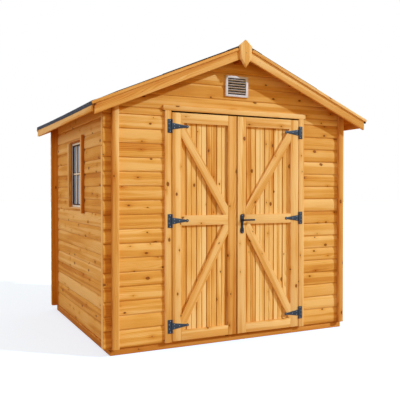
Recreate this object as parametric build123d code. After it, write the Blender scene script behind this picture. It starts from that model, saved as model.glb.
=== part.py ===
from build123d import *
from math import atan2, cos, degrees, radians, sin, tan
import os

# Wooden garden shed with a gable roof and a pair of doors in the front gable.
# Millimetres. X runs to the right seen from the front, Y towards the back, Z up.
# The origin is on the ground, under the middle of the shed.

# Floor
base_width = 2130
base_depth = 1840
joist_height = 40
joist_width = 38
joist_count = 5
floor_thickness = 15

# Walls
side_set_in = 5
stud_depth = 40
stud_width = 45
cladding = 20
gable_left_lap = 60
gable_right_lap = 18

# Corner battens
batten_width = 50
batten_thickness = 27
left_batten_thickness = 38
batten_lap = 1

# Doorway
doorway_width = 1178
jamb_width = 52
head_height = 40
head_past_jamb = 14
stop_overlap = 18

# Doors
door_height = 1761
door_side_gap = 6
door_end_gap = 6
door_meeting_gap = 12
door_meeting_place = -15
door_stop_gap = 6
door_board_thickness = 12
door_frame_thickness = 20
stile_width = 77
rail_width = 78
mid_rail_rise = 926
brace_width = 70
brace_set_back = 42

# Door hinges
low_hinge_rise = 117
high_hinge_drop = 111
hinge_steel = 2.5
hinge_plate_height = 105
hinge_plate_width = 36
hinge_plate_corner = 5
hinge_pin_radius = 2
hinge_barrel_radius = 4
hinge_play = 0.3
strap_root_height = 52
strap_neck_height = 16
strap_neck_reach = 118
strap_tip_radius = 12
strap_reach = 140

# Door handle
handle_edge_distance = 38
spindle_drop = 5
handle_plate_thickness = 5
handle_rise = 47
handle_drop = 110
handle_half_width = 17
handle_waist = 22
waist_top_drop = 26
waist_bottom_drop = 62
handle_lobe_taper = 9
lever_stand_off = 42
lever_length = 100
lever_radius = 7
lever_boss_radius = 10

# Roof
plate_over_head = 12
roof_over_plate = 72
roof_pitch = 23
deck_thickness = 12
felt_thickness = 3
felt_turn_down = 30
ridge_cap_width = 320
gable_overhang = 115
eaves_overhang = 172
fascia_thickness = 16
fascia_width = 64
rafter_width = 70
apex_plate_width = 160
apex_plate_drop = 182
ridge_beam_width = 70
ridge_beam_drop = 127
purlin_width = 40
purlin_depth = 45
purlin_place = 600

# Gable trim
bargeboard_thickness = 20
bargeboard_width = 85
back_bargeboard_width = 66
bargeboard_short_of_eaves = 20
strip_thickness = 12
strip_width = 22
strip_rise = 5
strip_past_eaves = 6
strip_short_of_finial = 8

# Finials, with drops measured down from the top
finial_thickness = 22
finial_over_ridge = 46
finial_half_width = 60
finial_shoulder_drop = 52
finial_hip_half_width = 48
finial_hip_drop = 152
finial_length = 222
finial_bevel = 8

# Window in the left wall
window_from_front = 779
window_width = 441
window_rise = 1015
window_height = 578
sash_depth = 35
sash_width = 19
sash_set_in = 7
glass_lip = 14
glass_bite = 8
glass_thickness = 4
trim_thickness = 30
trim_proud = 29
trim_horn = 46

# Vent in the front gable
vent_width = 208
vent_height = 166
vent_over_head = 105
vent_centre = -15
vent_depth = 14
vent_side_rim = 22
vent_end_rim = 17
vent_slots = 7
vent_slat_thickness = 3
vent_slat_tilt = 36

# Places worked out from the sizes above
floor_top = joist_height + floor_thickness
front = -base_depth / 2
side_face = base_width / 2 - side_set_in
side_inner = side_face - cladding - stud_depth
gable_left_end = side_face + gable_left_lap
gable_right_end = side_face + gable_right_lap
doorway_half = doorway_width / 2
jamb_outer = doorway_half + jamb_width
stop_edge = doorway_half - stop_overlap
door_bottom = floor_top + door_end_gap
door_top = door_bottom + door_height
door_back = front - door_stop_gap
door_face = door_back - door_board_thickness - door_frame_thickness
leaf_outer = doorway_half - door_side_gap
right_leaf_inner = door_meeting_gap / 2 + door_meeting_place
left_leaf_inner = door_meeting_gap / 2 - door_meeting_place
mid_rail_height = door_bottom + mid_rail_rise
head_bottom = door_top + door_end_gap
wall_top = head_bottom + plate_over_head
slope = tan(radians(roof_pitch))
ridge_height = wall_top + roof_over_plate + side_face * slope
eaves_reach = side_face + eaves_overhang
roof_end = base_depth / 2 + gable_overhang
hinge_x = (doorway_half + leaf_outer) / 2
hinge_y = door_face - hinge_barrel_radius
hinge_heights = (door_bottom + low_hinge_rise, mid_rail_height, door_top - high_hinge_drop)
spindle_x = right_leaf_inner + handle_edge_distance
spindle_height = mid_rail_height - spindle_drop
window_front_edge = front + window_from_front
window_back_edge = window_front_edge + window_width
window_bottom = floor_top + window_rise
window_top = window_bottom + window_height
sash_face = side_face - sash_set_in
glass_face = sash_face - glass_lip
vent_bottom = head_bottom + head_height + vent_over_head
vent_top = vent_bottom + vent_height


BASE = (Align.CENTER, Align.CENTER, Align.MIN)


def roof_z(x, depth=0):
    """Height at x of the surface that lies depth below the top of the roof boards."""
    return ridge_height - abs(x) * slope - depth / cos(radians(roof_pitch))


def block(x0, x1, y0, y1, z0, z1):
    """A square-edged board between two corners."""
    size = Box(abs(x1 - x0), abs(y1 - y0), abs(z1 - z0))
    return Pos((x0 + x1) / 2, (y0 + y1) / 2, (z0 + z1) / 2) * size


def upright_plate(outline, y0, y1):
    """A face drawn in X and Z, carried from y0 back to y1."""
    return extrude(Plane.XZ.offset(-y1) * outline, amount=y1 - y0)


def cornered(*points):
    """A face with straight sides."""
    return make_face(Polyline(*points, close=True))


def both_halves(half):
    """A face whose outline is the same on both sides of the middle."""
    return make_face(half + mirror(half, about=Plane.YZ))


def under_roof(x0, x1, y0, y1, z0):
    """A block that stands on z0 and meets the roof boards all along its top."""
    crown = [(x1, roof_z(x1, deck_thickness))]
    if x0 < 0 < x1:
        crown.append((0, roof_z(0, deck_thickness)))
    crown.append((x0, roof_z(x0, deck_thickness)))
    return upright_plate(cornered((x0, z0), (x1, z0), *crown), y0, y1)


def on_slope(x0, x1, y0, y1, over, under, square_cut=False):
    """A board that lies along one slope of the roof, between two depths.

    Its lower end is plumb, or square to its length."""
    cut = (under - over) * sin(radians(roof_pitch)) if square_cut else 0
    board = cornered(
        (x0, roof_z(x0, over)),
        (x1, roof_z(x1, over)),
        (x1 - cut, roof_z(x1 - cut, under)),
        (x0, roof_z(x0, under)),
    )
    return upright_plate(board, y0, y1)


def mirrored(shape):
    """The same piece on the other side of the shed's middle."""
    return mirror(shape, about=Plane.YZ)


def turned_to_back(shape):
    """The same piece on the back gable."""
    return mirror(shape, about=Plane.XZ)


# Floor: joists from front to back between two rims, and boards on top

def make_floor_frame():
    half = base_width / 2
    frame = block(-half, half, front, front + joist_width, 0, joist_height)
    frame += block(-half, half, -front - joist_width, -front, 0, joist_height)
    spacing = (base_width - joist_width) / (joist_count - 1)
    for n in range(joist_count):
        x = -half + n * spacing
        frame += block(x, x + joist_width, front, -front, 0, joist_height)
    return frame


def make_floor_boards():
    half = base_width / 2
    return block(-half, half, front, -front, joist_height, floor_top)


# Roof: two slopes of boards on a ridge beam and two purlins, under felt

def make_roof_boards():
    return on_slope(0, eaves_reach - fascia_thickness, -roof_end, roof_end, 0, deck_thickness)


def make_roof_felt():
    end = roof_end + bargeboard_thickness
    sheet = on_slope(0, eaves_reach, -end, end, -felt_thickness, 0)
    top = roof_z(eaves_reach, -felt_thickness)
    edge = eaves_reach + felt_thickness
    hem = block(eaves_reach, edge, -end, end, top - felt_turn_down, top)
    cap = on_slope(0, ridge_cap_width / 2, -end, end, -2 * felt_thickness, -felt_thickness)
    half = sheet + hem + cap
    return half + mirrored(half)


def make_ridge_beam():
    half = ridge_beam_width / 2
    return under_roof(-half, half, -roof_end, roof_end, ridge_height - ridge_beam_drop)


def make_purlin():
    under = deck_thickness + purlin_depth
    outer = purlin_place + purlin_width
    return on_slope(purlin_place, outer, -roof_end, roof_end, deck_thickness, under)


def make_fascia():
    inner = eaves_reach - fascia_thickness
    low = roof_z(eaves_reach) - fascia_width
    board = cornered(
        (inner, low), (eaves_reach, low), (eaves_reach, roof_z(eaves_reach)), (inner, roof_z(inner))
    )
    return upright_plate(board, -roof_end, roof_end)


ridge_beam = make_ridge_beam()
purlins = make_purlin() + mirrored(make_purlin())


def around_roof_timbers(shape):
    """Cut the notches that let a gable take the ridge beam and the purlins."""
    return shape - ridge_beam - purlins


# Walls: cladding on frames of studs

def make_door_head():
    """The board over the doors, a little longer than the doorway with its jambs."""
    reach = jamb_outer + head_past_jamb
    return block(-reach, reach, door_face, front, head_bottom, head_bottom + head_height)


door_head = make_door_head()


def make_front_wall(outer_end):
    """The cladding beside the doorway, on the right-hand side."""
    wall = block(jamb_outer, outer_end, front - cladding, front, floor_top, wall_top)
    return wall - door_head


def vent_opening(y0, y1):
    half = vent_width / 2 - vent_side_rim
    return block(
        vent_centre - half, vent_centre + half, y0, y1,
        vent_bottom + vent_end_rim, vent_top - vent_end_rim,
    )


def make_front_gable():
    gable = under_roof(-gable_left_end, gable_right_end, front - cladding, front, wall_top)
    gable -= door_head
    gable -= vent_opening(front - cladding, front)
    return around_roof_timbers(gable)


def make_back_wall():
    wall = under_roof(-gable_left_end, gable_right_end, -front, -front + cladding, floor_top)
    return around_roof_timbers(wall)


def make_side_wall():
    end = -front - stud_depth
    return under_roof(side_face - cladding, side_face, -end, end, floor_top)


def window_hole():
    return block(
        -side_face - cladding, -side_face + cladding + stud_depth,
        window_front_edge, window_back_edge, window_bottom, window_top,
    )


def make_front_frame(outer_end):
    """Corner post, door post and rails beside the doorway, on the right-hand side."""
    y1 = front + stud_depth
    frame = block(stop_edge, outer_end, front, y1, floor_top, wall_top)
    return frame - block(
        stop_edge + stud_width, side_inner, front, y1, floor_top + stud_width, wall_top - stud_width
    )


def gable_rafters(y0, y1, z0):
    """Rail and rafters of a gable, with the triangle between them left open."""
    frame = under_roof(-gable_left_end, gable_right_end, y0, y1, z0)
    depth = deck_thickness + rafter_width
    base = wall_top + stud_width
    half_base = (roof_z(0, depth) - base) / slope
    opening = cornered((-half_base, base), (half_base, base), (0, roof_z(0, depth)))
    frame -= upright_plate(opening, y0, y1)
    half_plate = apex_plate_width / 2
    return frame + under_roof(-half_plate, half_plate, y0, y1, ridge_height - apex_plate_drop)


def make_front_frame_gable():
    frame = gable_rafters(front, front + stud_depth, wall_top)
    return around_roof_timbers(frame)


def make_back_frame():
    y0 = -front - stud_depth
    frame = gable_rafters(y0, -front, floor_top)
    bay = (2 * side_inner - 2 * stud_width) / 3
    for n in range(3):
        x = -side_inner + n * (bay + stud_width)
        frame -= block(x, x + bay, y0, -front, floor_top + stud_width, wall_top)
    return around_roof_timbers(frame)


def make_side_frame():
    """Right-hand side wall frame: end studs, two inner studs, bottom and top rails."""
    outer = side_face - cladding
    end = -front - stud_depth
    frame = under_roof(side_inner, outer, -end, end, floor_top)
    top = roof_z(outer, deck_thickness) - stud_width
    bays = [
        (-end + stud_width, window_front_edge - stud_width),
        (window_front_edge, window_back_edge),
        (window_back_edge + stud_width, end - stud_width),
    ]
    for y0, y1 in bays:
        frame -= block(side_inner, outer, y0, y1, floor_top + stud_width, top)
    return frame


def make_left_frame():
    frame = mirrored(make_side_frame())
    outer = side_face - cladding
    for rail in (window_bottom - stud_width, window_top):
        frame += block(
            -outer, -side_inner, window_front_edge, window_back_edge, rail, rail + stud_width
        )
    return frame


def make_corner_batten(thickness):
    outer_edge = side_face + batten_lap
    inner_edge = outer_edge - batten_width
    face = front - cladding
    return under_roof(inner_edge, outer_edge, face - thickness, face, floor_top)


# Gable trim: bargeboards, cover strips and finials

def make_bargeboard(width):
    y0 = -roof_end - bargeboard_thickness
    reach = eaves_reach - bargeboard_short_of_eaves
    return on_slope(0, reach, y0, -roof_end, 0, width)


def make_cover_strips():
    y1 = -roof_end - bargeboard_thickness
    reach = eaves_reach + strip_past_eaves
    strip = on_slope(
        finial_half_width + strip_short_of_finial, reach, y1 - strip_thickness, y1,
        -strip_rise, strip_width - strip_rise, square_cut=True,
    )
    return strip + mirrored(strip)


def make_finial():
    """A board with a gabled top and sides that narrow to a point, bevelled round the front."""
    top = ridge_height + finial_over_ridge
    half = Polyline(
        (0, top),
        (finial_half_width, top - finial_shoulder_drop),
        (finial_hip_half_width, top - finial_hip_drop),
        (0, top - finial_length),
    )
    y1 = -roof_end - bargeboard_thickness
    finial = upright_plate(both_halves(half), y1 - finial_thickness, y1)
    front_edges = finial.faces().sort_by(Axis.Y)[0].edges()
    return chamfer(front_edges, finial_bevel)


# Doorway trim

def make_door_jamb():
    return block(doorway_half, jamb_outer, door_face, front, floor_top, head_bottom)


# Window: a fixed sash with the glass laid into a rebate from inside

def make_window_sash():
    x0 = -sash_face
    x1 = x0 + sash_depth
    sash = block(x0, x1, window_front_edge, window_back_edge, window_bottom, window_top)
    sash -= in_sash(x0, x1, sash_width)
    return sash - in_sash(-glass_face, x1, sash_width - glass_bite)


def in_sash(x0, x1, edge):
    """What lies inside the sash, the given distance in from its edges."""
    return block(
        x0, x1, window_front_edge + edge, window_back_edge - edge, window_bottom + edge, window_top - edge
    )


def make_window_glass():
    return in_sash(-glass_face, -glass_face + glass_thickness, sash_width - glass_bite)


def make_window_trim(y0, horn):
    return block(
        -side_face - trim_proud, -side_face, y0, y0 + trim_thickness,
        window_bottom - horn, window_top + horn,
    )


# Vent with tilted slats

def make_vent():
    face = front - cladding
    y0 = face - vent_depth
    half = vent_width / 2
    vent = block(vent_centre - half, vent_centre + half, y0, face, vent_bottom, vent_top)
    vent -= vent_opening(y0, face)
    slat_width = vent_width - 2 * vent_side_rim
    slat_height = vent_depth * sin(radians(vent_slat_tilt))
    slat_height += vent_slat_thickness * cos(radians(vent_slat_tilt))
    low = vent_bottom + vent_end_rim
    pitch = (vent_height - 2 * vent_end_rim + slat_height) / vent_slots
    slat = Rot(-vent_slat_tilt, 0, 0) * Box(slat_width, vent_depth, vent_slat_thickness)
    for n in range(1, vent_slots):
        vent += Pos(vent_centre, (y0 + face) / 2, low + n * pitch - slat_height / 2) * slat
    return vent


# Doors: boards behind a frame of stiles, rails and braces, made as the right-hand leaf

def make_door_boards(inner):
    y0 = door_back - door_board_thickness
    return block(inner, leaf_outer, y0, door_back, door_bottom, door_top)


def make_brace(x0, x1, z_meeting, z_hinge):
    """A brace that fits between a stile and a rail at each end."""
    y1 = door_face + door_frame_thickness
    rise = z_hinge - z_meeting
    run = x1 - x0
    length = (run ** 2 + rise ** 2) ** 0.5
    turn = degrees(atan2(run, rise))
    bar = Rot(0, turn, 0) * Box(brace_width, door_frame_thickness, 2 * length)
    return Pos((x0 + x1) / 2, (door_face + y1) / 2, (z_meeting + z_hinge) / 2) * bar


def make_door_frame(inner):
    """Stiles, three rails, and two braces that meet the middle rail at the meeting stile."""
    y1 = door_face + door_frame_thickness
    x0 = inner + stile_width
    x1 = leaf_outer - stile_width
    frame = block(inner, leaf_outer, door_face, y1, door_bottom, door_top)
    panels = [
        (mid_rail_height - rail_width / 2, door_bottom + rail_width, 1),
        (mid_rail_height + rail_width / 2, door_top - rail_width, -1),
    ]
    for z_mid, z_end, inwards in panels:
        panel = block(x0, x1, door_face, y1, z_mid, z_end)
        brace = make_brace(x0, x1, z_mid, z_end + inwards * brace_set_back)
        frame -= panel - brace
    return frame


# Hinges: a plate with two knuckles on the jamb, a strap with one on the door

def barrel(radius, z0, z1):
    return Pos(hinge_x, hinge_y, (z0 + z1) / 2) * Cylinder(radius, z1 - z0)


def make_hinge_plate(z):
    low = z - hinge_plate_height / 2
    high = z + hinge_plate_height / 2
    knuckle = strap_root_height / 2 + hinge_play
    y0 = door_face - hinge_steel
    edge = hinge_x + hinge_plate_width
    outline = cornered((hinge_x, low), (edge, low), (edge, high), (hinge_x, high))
    outline = fillet(outline.vertices().group_by(Axis.X)[-1], hinge_plate_corner)
    plate = upright_plate(outline, y0, door_face)
    plate += barrel(hinge_barrel_radius, low, high)
    clear = hinge_barrel_radius + 2 * hinge_play
    plate -= block(
        hinge_x - clear, hinge_x + clear, hinge_y - clear, door_face, z - knuckle, z + knuckle
    )
    return plate + barrel(hinge_pin_radius, low, high)


def make_hinge_strap(z):
    y0 = door_face - hinge_steel
    root = strap_root_height / 2
    neck = strap_neck_height / 2
    neck_x = hinge_x - strap_neck_reach
    tip_x = hinge_x - strap_reach + strap_tip_radius
    blade = cornered(
        (hinge_x, z - root), (hinge_x, z + root), (neck_x, z + neck),
        (tip_x, z + neck), (tip_x, z - neck), (neck_x, z - neck),
    )
    blade += Pos(tip_x, z) * Circle(strap_tip_radius)
    strap = upright_plate(blade, y0, door_face)
    strap += barrel(hinge_barrel_radius, z - root, z + root)
    return strap - barrel(hinge_pin_radius + hinge_play, z - root, z + root)


def make_hinges(make_one):
    return Compound(children=[make_one(z) for z in hinge_heights])


# Handle: a plate with two lobes joined by a waist, and a round lever

def make_handle_plate():
    side = handle_half_width
    on_arc = side * cos(radians(45))
    top = handle_rise - side
    low = side - handle_drop
    half = ThreePointArc((0, handle_rise), (on_arc, top + on_arc), (side, top))
    half += Polyline(
        (side, top),
        (side, -handle_lobe_taper),
        (handle_waist / 2, -waist_top_drop),
        (handle_waist / 2, -waist_bottom_drop),
        (side, -waist_bottom_drop - handle_lobe_taper),
        (side, low),
    )
    half += ThreePointArc((side, low), (on_arc, low - on_arc), (0, -handle_drop))
    plate = upright_plate(both_halves(half), door_face - handle_plate_thickness, door_face)
    return Pos(spindle_x, 0, spindle_height) * plate


def make_lever():
    """A boss, a neck that stands off the plate, and an arm with a round end."""
    y1 = door_face - handle_plate_thickness - hinge_play
    y0 = y1 - lever_stand_off + lever_radius
    towards_door = Rot(-90, 0, 0)
    lever = Pos(0, y0, 0) * towards_door * Cylinder(lever_radius, y1 - y0, align=BASE)
    lever += Pos(0, y1 - lever_boss_radius, 0) * towards_door * Cylinder(
        lever_boss_radius, lever_boss_radius, align=BASE
    )
    arm_length = lever_length - lever_radius
    lever += Pos(0, y0, 0) * Sphere(lever_radius)
    lever += Pos(0, y0, 0) * Rot(0, 90, 0) * Cylinder(lever_radius, arm_length, align=BASE)
    lever += Pos(arm_length, y0, 0) * Sphere(lever_radius)
    return Pos(spindle_x, 0, spindle_height) * lever


parts = {
    "floor_frame": make_floor_frame(),
    "floor_boards": make_floor_boards(),
    "front_wall_left": mirrored(make_front_wall(gable_left_end)),
    "front_wall_right": make_front_wall(gable_right_end),
    "front_gable": make_front_gable(),
    "back_wall": make_back_wall(),
    "left_wall": mirrored(make_side_wall()) - window_hole(),
    "right_wall": make_side_wall(),
    "front_frame_left": mirrored(make_front_frame(gable_left_end)),
    "front_frame_right": make_front_frame(gable_right_end),
    "front_frame_gable": make_front_frame_gable(),
    "back_frame": make_back_frame(),
    "left_frame": make_left_frame(),
    "right_frame": make_side_frame(),
    "corner_batten_front_left": mirrored(make_corner_batten(left_batten_thickness)),
    "corner_batten_front_right": make_corner_batten(batten_thickness),
    "corner_batten_back_left": turned_to_back(mirrored(make_corner_batten(batten_thickness))),
    "corner_batten_back_right": turned_to_back(make_corner_batten(batten_thickness)),
    "door_jamb_left": mirrored(make_door_jamb()),
    "door_jamb_right": make_door_jamb(),
    "door_head": door_head,
    "roof_boards_left": mirrored(make_roof_boards()),
    "roof_boards_right": make_roof_boards(),
    "roof_felt": make_roof_felt(),
    "ridge_beam": ridge_beam,
    "purlin_left": mirrored(make_purlin()),
    "purlin_right": make_purlin(),
    "fascia_left": mirrored(make_fascia()),
    "fascia_right": make_fascia(),
    "bargeboard_front_left": mirrored(make_bargeboard(bargeboard_width)),
    "bargeboard_front_right": make_bargeboard(bargeboard_width),
    "bargeboard_back_left": turned_to_back(mirrored(make_bargeboard(back_bargeboard_width))),
    "bargeboard_back_right": turned_to_back(make_bargeboard(back_bargeboard_width)),
    "cover_strips_front": make_cover_strips(),
    "cover_strips_back": turned_to_back(make_cover_strips()),
    "finial_front": make_finial(),
    "finial_back": turned_to_back(make_finial()),
    "window_sash": make_window_sash(),
    "window_glass": make_window_glass(),
    "window_trim_front": make_window_trim(window_front_edge - trim_thickness, trim_horn),
    "window_trim_back": make_window_trim(window_back_edge, 0),
    "vent": make_vent(),
    "left_door_boards": mirrored(make_door_boards(left_leaf_inner)),
    "left_door_frame": mirrored(make_door_frame(left_leaf_inner)),
    "right_door_boards": make_door_boards(right_leaf_inner),
    "right_door_frame": make_door_frame(right_leaf_inner),
    "left_hinge_plates": mirrored(make_hinges(make_hinge_plate)),
    "left_hinge_straps": mirrored(make_hinges(make_hinge_strap)),
    "right_hinge_plates": make_hinges(make_hinge_plate),
    "right_hinge_straps": make_hinges(make_hinge_strap),
    "handle_plate": make_handle_plate(),
    "door_lever": make_lever(),
}

os.makedirs("parts", exist_ok=True)
for name, shape in parts.items():
    export_step(shape, f"parts/{name}.step")
    print(name)
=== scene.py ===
# %% [markdown]
# # A timber garden shed
#
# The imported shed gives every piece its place: posts, boards, doors and hinges are plain
# solids that already have the right size. This lesson dresses them. Each wall slab becomes
# separate boards, each board gets its own grain, and iron, felt, glass and plastic get
# finishes of their own. Everything is in metres, in the same frame as the solids.

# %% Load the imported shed
import random
from math import atan2, cos, hypot, radians, sin, tan
import bmesh
import bpy
from mathutils import Matrix, Vector, noise


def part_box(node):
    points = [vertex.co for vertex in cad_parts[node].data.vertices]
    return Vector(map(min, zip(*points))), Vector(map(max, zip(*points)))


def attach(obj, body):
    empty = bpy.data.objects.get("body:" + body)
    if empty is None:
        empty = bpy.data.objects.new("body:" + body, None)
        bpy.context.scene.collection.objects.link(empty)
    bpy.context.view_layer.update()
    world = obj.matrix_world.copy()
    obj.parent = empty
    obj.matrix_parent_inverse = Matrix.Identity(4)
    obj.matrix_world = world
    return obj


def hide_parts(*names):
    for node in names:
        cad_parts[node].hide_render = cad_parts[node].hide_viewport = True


def rounded(values):
    return [round(value, 3) for value in values]


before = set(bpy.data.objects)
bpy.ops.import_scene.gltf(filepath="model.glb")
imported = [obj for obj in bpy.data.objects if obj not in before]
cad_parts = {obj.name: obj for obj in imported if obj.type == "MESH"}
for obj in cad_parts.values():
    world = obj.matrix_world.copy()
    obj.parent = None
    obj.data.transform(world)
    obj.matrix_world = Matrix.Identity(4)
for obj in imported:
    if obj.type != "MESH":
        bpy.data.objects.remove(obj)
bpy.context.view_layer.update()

# %% [markdown]
# ## Camera
#
# The picture is taken from the front left corner at chest height. Turning the camera up or
# down would make the upright posts lean together, so it looks almost level. Its place, turn
# and lens were worked out from the corners of the floor, the doors and the roof: it stands
# 2.3 m to the left and 5 m in front of the middle of the shed.

# %% Place the camera
CAMERA_PLACE = (-2.302, -4.989, 1.215)
LOOKS_DOWN = 0.89
LOOKS_RIGHT = 25.855
FILM_WIDTH = 36
FOCAL_LENGTH = 51.61


def show(name, data):
    """A new object in the scene, at the origin."""
    shown = bpy.data.objects.new(name, data)
    bpy.context.scene.collection.objects.link(shown)
    return shown


camera = show("camera", bpy.data.cameras.new("camera"))
camera.data.sensor_width = FILM_WIDTH
camera.data.lens = FOCAL_LENGTH
camera.location = CAMERA_PLACE
camera.rotation_euler = (radians(90 - LOOKS_DOWN), 0, radians(-LOOKS_RIGHT))
bpy.context.scene.camera = camera
print("camera", rounded(camera.location))

# %% [markdown]
# ## The roof's shape
#
# Both slopes fall from the ridge at one pitch. Boards, felt, rafters and bargeboards all lie
# at some depth below the top of the roof boards. Measuring each of them would do, but one
# function that gives the height of that surface places them all, and keeps them parallel.
# The directions, and the pairs that most pieces come in, get their names here too.

# %% Measure the roof
ROOF_PITCH = radians(23)
DECK = 0.012
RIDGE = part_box("roof_boards_right")[1].z
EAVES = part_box("fascia_right")[1].x
RIGHTWARDS, BACKWARDS, UP = Vector((1, 0, 0)), Vector((0, 1, 0)), Vector((0, 0, 1))
FORWARDS = -BACKWARDS
SIDES = (("left", -1), ("right", 1))
GABLES = (("front", FORWARDS), ("back", BACKWARDS))


def roof_height(x, depth=0.0):
    """Height at x of the surface that lies depth below the top of the roof boards."""
    return RIDGE - abs(x) * tan(ROOF_PITCH) - depth / cos(ROOF_PITCH)


def off_the_roof(side):
    """The direction straight out of one slope. side is 1 for the right slope, -1 for the left."""
    return Vector((side * sin(ROOF_PITCH), 0, cos(ROOF_PITCH)))


def farthest(low, high):
    """How far a box reaches from the middle of the shed, along each axis."""
    return Vector([max(abs(a), abs(b)) for a, b in zip(low, high)])


UNDER_DECK = [(Vector((0, 0, roof_height(0, DECK))), off_the_roof(side)) for _, side in SIDES]
print("ridge", round(RIDGE, 3), "eaves", rounded((EAVES, roof_height(EAVES))))

# %% [markdown]
# ## Shader arithmetic
#
# Wood is drawn by formulas: distances, waves and noise. Wiring Math nodes by hand hides the
# formula, so a small class wraps a socket and lets Python's own signs add the nodes. Any
# other node comes from one method, which sets its settings first and its inputs after.


# %% Wrap a socket
class Wire:
    """One output of a node, ready for arithmetic."""

    def __init__(self, nodes, socket):
        self.nodes = nodes
        self.socket = socket

    def other(self, output):
        """Another output of the same node."""
        return Wire(self.nodes, self.socket.node.outputs[output])

    def __add__(self, value):
        return self.nodes.maths("ADD", self, value)

    def __radd__(self, value):
        return self.nodes.maths("ADD", value, self)

    def __sub__(self, value):
        return self.nodes.maths("SUBTRACT", self, value)

    def __rsub__(self, value):
        return self.nodes.maths("SUBTRACT", value, self)

    def __mul__(self, value):
        return self.nodes.maths("MULTIPLY", self, value)

    def __rmul__(self, value):
        return self.nodes.maths("MULTIPLY", value, self)

    def __truediv__(self, value):
        return self.nodes.maths("DIVIDE", self, value)

    def __gt__(self, value):
        return self.nodes.maths("GREATER_THAN", self, value)


print("wires carry + - * / and >")


# %% Add nodes to a tree
class Nodes:
    """A node tree with one way to add any node."""

    def __init__(self, tree):
        self.tree = tree

    def node(self, kind, settings=None, inputs=None, output=0):
        made = self.tree.nodes.new(kind)
        for setting, value in (settings or {}).items():
            if setting == "stops":
                self.set_stops(made.color_ramp, value)
            else:
                setattr(made, setting, value)
        for socket, value in (inputs or {}).items():
            self.plug(made.inputs[socket], value)
        return Wire(self, made.outputs[output])

    def maths(self, operation, *values):
        return self.node("ShaderNodeMath", {"operation": operation}, dict(enumerate(values)))

    def set_stops(self, ramp, stops):
        while len(ramp.elements) < len(stops):
            ramp.elements.new(1.0)
        for element, (place, colour) in zip(ramp.elements, stops):
            element.position = place
            element.color = (*colour, 1)

    def plug(self, socket, value):
        if isinstance(value, Wire):
            self.tree.links.new(value.socket, socket)
        else:
            socket.default_value = value


print("any node can be added")


# %% Name the common nodes
class Shading(Nodes):
    """A node tree with short names for what the finishes use most."""

    def split(self, vector):
        x = self.node("ShaderNodeSeparateXYZ", None, {0: vector})
        return x, x.other(1), x.other(2)

    def join(self, x, y, z):
        return self.node("ShaderNodeCombineXYZ", None, {0: x, 1: y, 2: z})

    def stretch(self, vector, scale):
        return self.node("ShaderNodeMapping", None, {"Vector": vector, "Scale": scale})

    def cloud(self, vector, scale=1.0, detail=2.0, roughness=0.5):
        sizes = {"Vector": vector, "Scale": scale, "Detail": detail, "Roughness": roughness}
        return self.node("ShaderNodeTexNoise", None, sizes)

    def step(self, value, low, high):
        """0 below low, 1 above high, and a smooth rise between them."""
        span = {0: value, 1: low, 2: high}
        return self.node("ShaderNodeMapRange", {"interpolation_type": "SMOOTHSTEP"}, span)

    def mix(self, share, first, second):
        colours = {0: share}
        for socket, colour in ((6, first), (7, second)):
            colours[socket] = colour if isinstance(colour, Wire) else (*colour, 1)
        return self.node("ShaderNodeMix", {"data_type": "RGBA"}, colours, 2)

    def seen(self):
        """1 for rays from the camera, off gloss and through glass, 0 for bouncing light."""
        ray = self.node("ShaderNodeLightPath", None, None, "Is Camera Ray")
        return ray + ray.other("Is Glossy Ray") + ray.other("Is Transmission Ray") > 0.5


print("node helpers ready")


# %% Start a finish
class Finish(Shading):
    """A material built from a Principled shader, and the record's slot that it stands for."""

    def __init__(self, name, slot="planed_timber", **constants):
        self.slot = slot
        self.material = bpy.data.materials.new(name)
        self.material.use_nodes = True
        super().__init__(self.material.node_tree)
        self.shader = self.tree.nodes["Principled BSDF"]
        for socket, value in constants.items():
            self.feed(socket.replace("_", " "), value)

    def feed(self, socket, value):
        """Give one of the shader's sockets a wire or a constant."""
        self.plug(self.shader.inputs[socket], value)

    def bump(self, height, strength, distance):
        self.feed("Normal", self.node("ShaderNodeBump", None, {
            "Strength": strength, "Distance": distance, "Height": height,
        }))

    def place(self):
        return self.node("ShaderNodeTexCoord", None, None, "Object")

    def attribute(self, name, output="Fac"):
        return self.node("ShaderNodeAttribute", {"attribute_name": name}, None, output)


print("finishes start from a Principled shader")

# %% [markdown]
# ## Softwood
#
# A board shows long rings from one end to the other. They bend round knots, the late wood
# is darker than the early wood, bands of heartwood run along it, and every board has its
# own tone. A photograph of wood would repeat from board to board, and a Wave texture on
# object coordinates would run the same way on posts and rails.
#
# So each board carries three attributes, and the finish reads only those: "grain" says where
# a point lies along, across and through its board, "tone" how dark the board is there, and
# "stain" is 1 in the joints and grooves, where it paints their shade dark. Knots come
# from a cell pattern with one point in each cell, and push the rings aside. The colour goes
# from pale to warm by a sum of all this, in which the number beside each part is its weight.

# %% Scatter the knots
KNOT_SPACING_ALONG = 0.24
KNOT_SPACING_ACROSS = 0.115
SMALLEST_KNOT = 0.0025
KNOT_GROWTH = 0.0085
KNOT_EDGE = 0.002
KNOT_LENGTHENING = 0.42
RAGGED_BY = 0.006
BEND_ALONG = 900.0
BEND_ACROSS = 3200.0


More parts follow.
